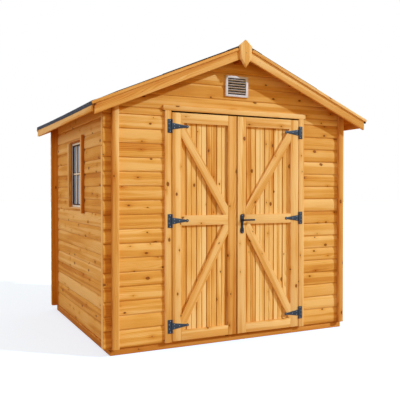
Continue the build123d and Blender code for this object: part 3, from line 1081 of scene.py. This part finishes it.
def felt_lift(x, y):
    """How far the felt stands up at the gables, and at the eaves towards the back."""
    near_gable = max(0, 1 - (felt_high.y - abs(y)) / GABLE_REACH)
    near_eaves = min(1, max(0, (abs(x) - EAVES_FROM) / EAVES_REACH))
    to_back = (y - felt_low.y) / (felt_high.y - felt_low.y)
    rise = BACK_RISE[1 if x > 0 else -1]
    return GABLE_LIFT * near_gable ** 1.5 * (1 - near_eaves) + rise * near_eaves * to_back ** 2


def felt_sheet(sheets, path, rows=52):
    """Sweep a path of points from gable to gable, ripple it a little and make it thick."""
    sheet = bmesh.new()
    line = [sheet.verts.new(Vector((point.x, felt_low.y, point.z))) for point in path]
    edges = [sheet.edges.new(pair) for pair in zip(line, line[1:])]
    pace = (felt_high.y - felt_low.y) / rows
    for _ in range(rows):
        swept = bmesh.ops.extrude_edge_only(sheet, edges=edges)["geom"]
        edges = [e for e in swept if isinstance(e, bmesh.types.BMEdge)]
        fresh = [v for v in swept if isinstance(v, bmesh.types.BMVert)]
        bmesh.ops.translate(sheet, vec=(0, pace, 0), verts=fresh)
    bmesh.ops.recalc_face_normals(sheet, faces=sheet.faces[:])
    if sum(face.normal.z for face in sheet.faces) < 0:
        bmesh.ops.reverse_faces(sheet, faces=sheet.faces[:])
    for vert in sheet.verts:
        ripple = RIPPLE * (1 + noise.noise(vert.co * RIPPLES_PER_METRE))
        vert.co.z += felt_lift(vert.co.x, vert.co.y) + ripple
    bmesh.ops.solidify(sheet, geom=sheet.faces[:], thickness=FELT_THICKNESS)
    pour(sheet, sheets)


print("felt", FELT_THICKNESS * 1000, "mm thick")

# %% Lay the felt
ROLL = 0.70
CAP_HALF = 0.16
HEM_GAP = 0.0029
HEM_FACE = EAVES + HEM_GAP
CAP_CREST = 0.010
EAVES_LIFT = {-1: 0.005, 1: 0.001}
HEM_SHORT = {-1: 0.004, 1: 0.0}
EAVES_CURVE = ((1.17, 0.25), (1.20, 0.7), (EAVES - 0.014, 0.95), (EAVES - 0.007, 1.0))
HEM_CURVE = ((0.004, 0.002), (0.001, 0.006), (0, 0.012), (0, 0.024))
sheets = bmesh.new()
for _, side in SIDES:
    lower = [felt_point(side, x, FELT_THICKNESS) for x in (0.62, 0.75, 0.90, 1.05, 1.13)]
    for x, share in EAVES_CURVE:
        lower.append(felt_point(side, x, FELT_THICKNESS + EAVES_LIFT[side] * share))
    top = lower[-1].z
    for inset, drop in HEM_CURVE:
        lower.append(Vector((side * (HEM_FACE - inset), 0, top - drop)))
    lower.append(Vector((side * HEM_FACE, 0, felt_low.z + HEM_SHORT[side])))
    felt_sheet(sheets, lower)
    upper = (0.012, 0.15, 0.30, 0.45, 0.60, ROLL)
    felt_sheet(sheets, [felt_point(side, x, 2 * FELT_THICKNESS) for x in upper])
left_cap, right_cap = (
    [felt_point(side, x, 3 * FELT_THICKNESS) for x in (0.03, 0.07, 0.12, CAP_HALF)]
    for _, side in SIDES
)
felt_sheet(sheets, [*left_cap[::-1], Vector((0, 0, RIDGE + CAP_CREST)), *right_cap])
make_piece("felt_sheets", sheets, FELT, ["roof_felt"])
print("five sheets of felt, the lowest turned down", round(top - felt_low.z, 3), "m")

# %% Nail the felt down
CLOUT_HEAD = (0.0045, 0.0014)
CLOUTS_ALONG = [-0.975 + 0.13 * n for n in range(16)]
CLOUT_ROWS = ((CAP_HALF - 0.02, 3), (ROLL - 0.025, 2))
HEM_NAIL_UP = 0.018
HEM_NAIL_OUT = 0.0005
clouts = Fixings("clout_nails")
for _, side in SIDES:
    for y in CLOUTS_ALONG:
        hem = Vector((side * (HEM_FACE + HEM_NAIL_OUT), y, felt_low.z + HEM_NAIL_UP))
        clouts.nail(hem, side * RIGHTWARDS, CLOUT_HEAD)
        for x, layers in CLOUT_ROWS:
            place = felt_point(side, x, layers * FELT_THICKNESS + CLOUT_HEAD[1])
            clouts.nail(place + y * BACKWARDS, off_the_roof(side), CLOUT_HEAD)
print("clout nails", clouts.count)

# %% [markdown]
# ## Iron, plastic, paint and glass
#
# The hinges are black japanned iron, slightly blue and a little uneven, and the handle is
# darker still. Their screws are bright zinc, and the nails have gone brown. The vent is
# off-white plastic with a fly screen behind it, near black as its own dark gauze and as
# painted shade of the gable behind it. The sash is painted, and the glass is a pale blue,
# a painted reflection of the sky, besides the sky that its gloss mirrors. Plain colours
# would do from far away, but a slow noise in colour and roughness keeps each of them from
# looking like a toy's, and one function mixes them all.

# %% Mix a mottled finish
def mottled(name, slot, dark, light, scale, detail=2.0, ragged=0.5, edges=None, stretch=None,
            rough=None, bump=None, **constants):
    """A finish that turns from dark to light, and from glossy to dull, with one noise.

    rough gives how much the noise adds to the roughness and the least roughness, and bump
    its strength and depth.
    """
    finish = Finish(name, slot, **constants)
    where = finish.place()
    if stretch:
        where = finish.stretch(where, stretch)
    mottle = finish.cloud(where, scale, detail, ragged)
    share = finish.step(mottle, *edges) if edges else mottle
    finish.feed("Base Color", finish.mix(share, dark, light))
    if rough:
        added, least = rough
        finish.feed("Roughness", mottle * added + least)
    if bump:
        finish.bump(mottle, *bump)
    return finish


print("mottled finishes ready to mix")

# %% Mix the metals
JAPANNED = {
    "scale": 160.0, "detail": 3.0, "ragged": 0.6, "edges": (0.3, 0.75), "rough": (0.25, 0.36),
    "bump": (0.25, 0.0008), "Metallic": 0.2, "Coat_Weight": 0.12, "Specular_IOR_Level": 0.3,
}
IRON = mottled(
    "hinge iron", "black_iron", (0.013, 0.020, 0.028), (0.040, 0.053, 0.070), **JAPANNED
)
DARK_IRON = mottled(
    "handle iron", "black_iron", (0.002, 0.003, 0.005), (0.009, 0.012, 0.017), **JAPANNED
)
ZINC = mottled(
    "screw zinc", "black_iron", (0.24, 0.24, 0.25), (0.52, 0.52, 0.53), 700.0,
    rough=(0.2, 0.3), Metallic=0.9,
)
STEEL = mottled(
    "nail steel", "black_iron", (0.16, 0.07, 0.022), (0.24, 0.09, 0.020), 300.0,
    edges=(0.4, 0.6), rough=(0.3, 0.4), Metallic=0.1, Specular_IOR_Level=0.15,
)
nails.finish(STEEL)
clouts.finish(STEEL)

# %% Mix plastic, gauze, paint and glass
PLASTIC = mottled(
    "vent plastic", "vent_plastic", (0.68, 0.60, 0.58), (0.56, 0.49, 0.46), 35.0, 3.0, 0.6,
    edges=(0.4, 0.8), rough=(0.2, 0.38),
)
PLASTIC.bump(PLASTIC.cloud(PLASTIC.place(), 600.0, 1.0), 0.1, 0.0004)
# Near black: the gauze's own dark colour, and painted shade of the gable behind it.
GAUZE_AND_SHADE = mottled(
    "fly screen gauze", "vent_plastic", (0.002, 0.002, 0.002), (0.008, 0.006, 0.006), 900.0,
    Roughness=0.9, Specular_IOR_Level=0.05,
)
PAINT = mottled(
    "sash paint", "window_paint", (0.82, 0.70, 0.50), (0.89, 0.79, 0.62), 4.0,
    stretch=(60, 60, 9), rough=(0.2, 0.35), bump=(0.15, 0.0006),
)
# The glass's pale blue colour and its mottle are a painted reflection of the sky.
SKY_PAINTED_GLASS = mottled(
    "window glass", "window_glass", (0.40, 0.54, 0.66), (0.55, 0.69, 0.80), 6.0, 3.0, 0.6,
    edges=(0.35, 0.75), rough=(0.08, 0.03), Transmission_Weight=0.30, IOR=1.5,
)
print("other finishes ready")

# %% [markdown]
# ## Window
#
# The sash is made of two stiles and two rails, and beads hold the glass in it, near black
# as painted shade in the reveals. One upright bar and one level bar divide the glass into
# four panes, with a thin bead along each side of them. The upright bar stands nearer the
# back, as it does in the picture. A drip strip closes the gap over the sash and a sill strip
# the one under it, and an upright trim stands at each side, longer at the front, while the
# back one laps over the sash. The solid sash has the right sections but no joints, so it is
# built again from sticks.

# %% Make the sash
SASH = 0.019
SASH_BEHIND_GLASS = 0.011
SASH_EDGE = 0.003
UPRIGHT_BAR = 0.020
UPRIGHT_BAR_Y = 0.170
LEVEL_BAR = 0.016
LEVEL_BAR_Z = 1.369
BAR_DEPTH = 0.006
glass_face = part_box("window_glass")[0].x
bar_front, bar_back = UPRIGHT_BAR_Y - UPRIGHT_BAR / 2, UPRIGHT_BAR_Y + UPRIGHT_BAR / 2
bar_low, bar_high = LEVEL_BAR_Z - LEVEL_BAR / 2, LEVEL_BAR_Z + LEVEL_BAR / 2


def window_ring(piece, x0, x1, inset, width, eased=EASED_EDGE):
    """Two uprights and two rails round the window, the given distance in from the hole."""
    y0, y1 = sash_low.y + inset, sash_high.y - inset
    z0, z1 = sash_low.z + inset, sash_high.z - inset
    for a, b in ((y0, y0 + width), (y1 - width, y1)):
        piece.board((x0, a, z0), (x1, b, z1), "Z", eased=eased)
    for a, b in ((z0, z0 + width), (z1 - width, z1)):
        piece.board((x0, y0 + width, a), (x1, y1 - width, b), "Y", eased=eased)


def on_glass(piece, depth, y0, y1, z0, z1, along, eased):
    """A stick that lies on the glass and stands out from it."""
    piece.board((glass_face - depth, y0, z0), (glass_face, y1, z1), along, eased=eased)


sash = Joinery("sash_frame", PAINT)
window_ring(sash, sash_low.x, glass_face, 0, SASH, SASH_EDGE)
window_ring(sash, glass_face, sash_high.x, 0, SASH_BEHIND_GLASS)
on_glass(sash, BAR_DEPTH, bar_front, bar_back, sash_low.z + SASH, sash_high.z - SASH, "Z",
         SASH_EDGE)
for y0, y1 in ((sash_low.y + SASH, bar_front), (bar_back, sash_high.y - SASH)):
    on_glass(sash, BAR_DEPTH, y0, y1, bar_low, bar_high, "Y", SASH_EDGE)
sash.finish("window_sash")

# %% Glaze and bead the sash
BEAD = 0.009
BEAD_SET_BACK = 0.0005
BAR_BEAD = 0.005
BAR_BEAD_DEPTH = 0.0045
BAR_BEAD_EDGE = 0.001
inset = SASH + BEAD
# The beads are near black, as painted shade in the reveals.
beads = Joinery("glazing_beads", SHADE_BEADING)
window_ring(beads, sash_low.x + BEAD_SET_BACK, glass_face, SASH, BEAD)
for edge, way, far in (
    (bar_front, -1, sash_low.y + inset), (bar_back, 1, sash_high.y - inset),
):
    side_of_bead = edge + way * BAR_BEAD
    on_glass(beads, BAR_BEAD_DEPTH, edge, side_of_bead, sash_low.z + inset,
             sash_high.z - inset, "Z", BAR_BEAD_EDGE)
    for z, up in ((bar_low, -1), (bar_high, 1)):
        on_glass(beads, BAR_BEAD_DEPTH, side_of_bead, far, z, z + up * BAR_BEAD, "Y",
                 BAR_BEAD_EDGE)
beads.finish()

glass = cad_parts["window_glass"].data.materials
glass.clear()
glass.append(SKY_PAINTED_GLASS.material)

# %% Trim the window
DRIP, DRIP_DEPTH = 0.014, 0.012
SILL, SILL_DEPTH, SILL_SHADE = 0.011, 0.006, -0.4
TRIM_FACING = 0.006
FACING_SHADE = 0.2
WINDOW_TRIMS = (("front", SHADED_TIMBER, 0.2, 0.0), ("back", PLANED, 1.2, 0.012))
wall_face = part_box("left_wall")[0].x
# The drip strip and the front trim's board are of the darker timber, as painted shade.
single("window_drip_strip", SHADED_TIMBER, (wall_face - DRIP_DEPTH, sash_low.y, sash_high.z),
       (wall_face, sash_high.y, sash_high.z + DRIP), "Y")
single("window_sill_strip", PLANED, (wall_face - SILL_DEPTH, sash_low.y, sash_low.z - SILL),
       (wall_face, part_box("window_trim_back")[1].y, sash_low.z), "Y", shade=SILL_SHADE)
for word, surface, shade, lap in WINDOW_TRIMS:
    node = f"window_trim_{word}"
    low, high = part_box(node)
    low.y -= lap
    behind = low.x + TRIM_FACING
    single(node + "_board", surface, (behind, low.y, low.z), high, "Z", [node], shade=shade)
    single(node + "_facing", PLANED, low, (behind, high.y, high.z), "Z", shade=FACING_SHADE)

# %% [markdown]
# ## Vent
#
# The vent is a moulded plastic grille with tilted slats. The solid has the frame and the
# slats at their real tilt, so a softened copy is all that it needs. A fly screen closes the
# hole in the boards behind it. Real gauze is a fine weave, but between the slats it shows
# only as dark, so a thin near-black sheet stands for it: the gauze's own dark colour, and
# painted shade of the gable behind it.

# %% Make the vent
VENT_EDGE = 0.0008
SCREEN_GAP = 0.001
SCREEN_THICKNESS = 0.002
make_piece("vent_grille", softened("vent", VENT_EDGE), PLASTIC, ["vent"])
low = Vector((vent_hole["start"], vent_high.y, vent_hole["low"]))
high = Vector((vent_hole["end"], vent_high.y + SCREEN_THICKNESS, vent_hole["high"]))
size = high - low - 2 * SCREEN_GAP * (RIGHTWARDS + UP)
fitting = Matrix.Translation((low + high) / 2) @ Matrix.Diagonal((*size, 1))
fly_screen = bmesh.new()
bmesh.ops.create_cube(fly_screen, size=1, matrix=fitting)
make_piece("vent_fly_screen", fly_screen, GAUZE_AND_SHADE)
print("vent", rounded(vent_low), rounded(vent_high))

# %% [markdown]
# ## Doors
#
# Each leaf has a frame of stiles, rails and braces in front of upright boards. The boards
# have a groove at each joint and a finer one down the middle, which gives the even stripes
# inside each panel. Grooves in a bump pattern would fade at an angle, so the groove is in
# the outline that is swept for each board, and the outline paints shade into the grooves.
# Their tones are listed, from the meeting stile outwards, because that mix of pale and orange
# boards is what the eye notices first. The leaves end a little below the head board, so that
# they swing clear of it, and the near-black strip behind it paints shade into that gap.

# %% Draw a door board and a brace
STILE = 0.077
RAIL = 0.078
BRACE = 0.070
BRACE_SET_BACK = 0.042
BRACE_SHADE = 0.35
MATCHBOARD = 0.0885
GROOVE = 0.0065
FINE_GROOVE = 0.0035
MID_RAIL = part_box("right_door_frame")[0].z + 0.926


# The grooves get painted shade: 1 at the joints and 0.7 in the fine groove.
def matchboard_outline(thickness):
    half = MATCHBOARD / 2
    face = [
        (-half, thickness - GROOVE, 1), (-half + GROOVE, thickness, 0),
        (-FINE_GROOVE, thickness, 0), (0, thickness - FINE_GROOVE, 0.7),
        (FINE_GROOVE, thickness, 0), (half - GROOVE, thickness, 0), (half, thickness - GROOVE, 1),
    ]
    return face[::-1] + [(-half, 0, 0), (half, 0, 0)]


def brace_bar(leaf, side, x0, x1, y0, y1, z_mid, z_end, inwards):
    """A brace sawn to fit between the two stiles and the two rails of its panel."""
    z_hinge = z_end + inwards * BRACE_SET_BACK
    run, rise = side * (x1 - x0), z_hinge - z_mid
    centre = Vector((side * (x0 + x1) / 2, (y0 + y1) / 2, (z_mid + z_hinge) / 2))
    turn = Matrix.Rotation(-atan2(rise, run), 4, "Y")
    level_cuts = [((0, 0, z_mid), (0, 0, inwards)), ((0, 0, z_end), (0, 0, -inwards))]
    size = (hypot(run, rise) + 4 * BRACE, y1 - y0, BRACE)
    leaf.bar(size, Matrix.Translation(centre) @ turn, plumb_cuts(side, x0, x1) + level_cuts,
             TRIM_EDGE, leaf.look(BRACE_SHADE))


print("door boards", MATCHBOARD * 1000, "mm wide")

# %% Make the door leaves
DOOR_TOP_GAP = 0.006
HINGE_STILE_SHADES = (0.2, 0.5)
RAIL_SHADE = 0.25
UPRIGHT = Matrix(((0, -1, 0), (0, 0, -1), (1, 0, 0))).to_4x4()
LEAVES = {
    "left": {
        "side": -1, "first": 0.039, "stile": (1.35, 0.45),
        "tones": (0.5, 0.45, 0.62, 0.12, 0.18, 0.95, 0.4),
    },
    "right": {
        "side": 1, "first": 0.044, "stile": (0.3, 0.0),
        "tones": (0.5, 0.75, 0.12, 0.70, 0.2, 0.15, 0.4),
    },
}
for word, leaf in LEAVES.items():
    side, body = leaf["side"], f"{word}_door"
    low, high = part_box(f"{word}_door_boards")
    high.z -= DOOR_TOP_GAP
    inner, outer = sorted((side * low.x, side * high.x))
    boards = Joinery(f"{word}_door_matchboards", DOOR_BOARDS)
    for n, shade in enumerate(leaf["tones"]):
        x = side * (inner + leaf["first"] + n * MATCHBOARD)
        placing = Matrix.Translation((x, high.y, (low.z + high.z) / 2)) @ UPRIGHT
        boards.moulding(matchboard_outline(high.y - low.y), high.z - low.z, placing,
                        plumb_cuts(1, low.x, high.x), boards.look(shade))
    boards.finish(f"{word}_door_boards", body=body)

    low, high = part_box(f"{word}_door_frame")
    high.z -= DOOR_TOP_GAP
    joinery = Joinery(f"{word}_door_joinery", PLANED)
    x0, x1 = inner + STILE, outer - STILE
    for a, b, shade in ((inner, x0, leaf["stile"]), (x1, outer, HINGE_STILE_SHADES)):
        joinery.board((side * a, low.y, low.z), (side * b, high.y, high.z), "Z",
                      eased=TRIM_EDGE, shade=shade)
    for z in (low.z, MID_RAIL - RAIL / 2, high.z - RAIL):
        joinery.board((side * x0, low.y, z), (side * x1, high.y, z + RAIL), "X",
                      eased=TRIM_EDGE, shade=RAIL_SHADE)
    for z_mid, z_end, inwards in (
        (MID_RAIL - RAIL / 2, low.z + RAIL, 1), (MID_RAIL + RAIL / 2, high.z - RAIL, -1),
    ):
        brace_bar(joinery, side, x0, x1, low.y, high.y, z_mid, z_end, inwards)
    joinery.finish(f"{word}_door_frame", body=body)

# %% [markdown]
# ## Ironwork
#
# Three T-hinges carry each leaf: a plate on the jamb and a tapered strap on the door, which
# turns on the plate's pin. The handle is a lever on a waisted plate with a keyhole below it.
# Building them from bars again would lose the knuckles and the waist that the solids have,
# so they are kept and softened. The screws ride with what they hold: the plates' screws stay
# with the shed, and the straps' swing with the door.

# %% Hang the hinges
HINGE_PLATE_HALF = 0.0525
STRAP_THICKNESS = 0.0025
IRON_EDGE = 0.0005
PLATE_SCREWS = ((0.015, 0.041), (0.025, 0.016), (0.025, -0.016), (0.015, -0.041))
STRAP_SCREWS = ((0.020, 0.013), (0.020, -0.013), (0.062, 0.0), (0.128, 0.0))
plates_low, plates_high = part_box("right_hinge_plates")
hinge_x = (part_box("right_hinge_straps")[1].x + plates_low.x) / 2
iron_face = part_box("right_door_frame")[0].y - STRAP_THICKNESS
hinge_heights = (plates_low.z + HINGE_PLATE_HALF, MID_RAIL, plates_high.z - HINGE_PLATE_HALF)
plate_screws = Fixings("hinge_plate_screws")
for word, side in SIDES:
    body = f"{word}_door"
    plates, straps = f"{word}_hinge_plates", f"{word}_hinge_straps"
    make_piece(f"{word}_hinge_leaves", softened(plates, IRON_EDGE), IRON, [plates])
    make_piece(f"{word}_hinge_blades", softened(straps, IRON_EDGE), IRON, [straps], body)
    strap_screws = Fixings(f"{word}_strap_screws")
    for z in hinge_heights:
        for past, above in PLATE_SCREWS:
            plate_screws.screw(Vector((side * (hinge_x + past), iron_face, z + above)), FORWARDS)
        for past, above in STRAP_SCREWS:
            strap_screws.screw(Vector((side * (hinge_x - past), iron_face, z + above)), FORWARDS)
    strap_screws.finish(ZINC, body)
plate_screws.finish(ZINC)

# %% Fit the handle
SCREW_IN = 0.010
KEYHOLE_UP = 0.034
plate_low, plate_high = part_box("handle_plate")
handle_x = (plate_low.x + plate_high.x) / 2
make_piece("handle_backplate", softened("handle_plate", 0.0012), DARK_IRON, ["handle_plate"],
           "right_door")
make_piece("lever_handle", softened("door_lever", 0.0006), DARK_IRON, ["door_lever"], "lever")
handle_screws = Fixings("handle_screws")
for z in (plate_high.z - SCREW_IN, plate_low.z + SCREW_IN):
    handle_screws.screw(Vector((handle_x, plate_low.y, z)), FORWARDS, 0.0035)
handle_screws.finish(ZINC, "right_door")
keyhole = Fixings("keyhole_ring")
keyhole.screw(Vector((handle_x, plate_low.y, plate_low.z + KEYHOLE_UP)), FORWARDS, 0.007)
keyhole.finish(DARK_IRON, "right_door")

# %% [markdown]
# ## Floor, sun and sky
#
# The shed stands on a plain white floor in front of a white sky. The picture has shade as
# warm as its lit boards, while its pale trims stay neutral. One white lamp gives either of
# them, not both. So the sun from the front right and a wide soft light on the left wall are
# cool, and the sky that fills the shade is warm.
#
# A truly white floor would throw so much light up under the roof that the shade there would
# vanish, so light that bounces meets a darker floor and a warm sky, and only rays from the
# camera, off gloss and through glass see both white. The shed's shadow stays on the floor.

# %% Hang the sun and the sky
SKY = 0.70
SKY_TINT = (1.0, 0.74, 0.36)
WHITE = (1, 1, 1)
SUN = {
    "strength": 3.25, "colour": (0.55, 0.76, 1.0), "angle": 1.5,
    "towards": (0.668, -0.557, 0.493),
}
OPEN_SKY = {
    "strength": 1.55, "colour": (0.30, 0.56, 1.0), "angle": 60, "towards": (-1.0, -0.15, 0.35),
}


def hang_light(name, strength, colour, angle, towards):
    """A distant light that stands in a direction, and looks as wide as an angle."""
    light = show(name, bpy.data.lights.new(name, "SUN"))
    light.data.energy = strength
    light.data.color = colour
    light.data.angle = radians(angle)
    light.rotation_euler = Vector(towards).to_track_quat("Z", "Y").to_euler()


hang_light("sun", **SUN)
hang_light("open_sky_on_the_left", **OPEN_SKY)

world = bpy.data.worlds.new("sky")
world.use_nodes = True
bpy.context.scene.world = world
sky = Shading(world.node_tree)
background = world.node_tree.nodes["Background"]
sky.plug(background.inputs["Strength"], sky.seen() * (1.0 - SKY) + SKY)
sky.plug(background.inputs["Color"], sky.mix(sky.seen(), SKY_TINT, WHITE))
print("sky", SKY, "tint", SKY_TINT)

# %% Lay the studio floor
FLOOR_IN_BOUNCES = (0.48, 0.30, 0.10)
FLOOR_SEEN = (0.42, 0.57, 0.88)
GLOW = (0.60, 0.60, 0.60)
BLACK = (0, 0, 0)
FLOOR_RADIUS = 60
ground = Finish("studio floor", Roughness=0.9, Specular_IOR_Level=0.1, Emission_Strength=1.0)
ground.feed("Base Color", ground.mix(ground.seen(), FLOOR_IN_BOUNCES, FLOOR_SEEN))
ground.feed("Emission Color", ground.mix(ground.seen(), BLACK, GLOW))
disc = bmesh.new()
bmesh.ops.create_circle(disc, cap_ends=True, radius=FLOOR_RADIUS, segments=64)
floor_mesh = bpy.data.meshes.new("studio_floor")
disc.to_mesh(floor_mesh)
disc.free()
floor_mesh.materials.append(ground.material)
show("studio_floor", floor_mesh)
bpy.context.scene.view_settings.view_transform = "Standard"
print("floor laid")
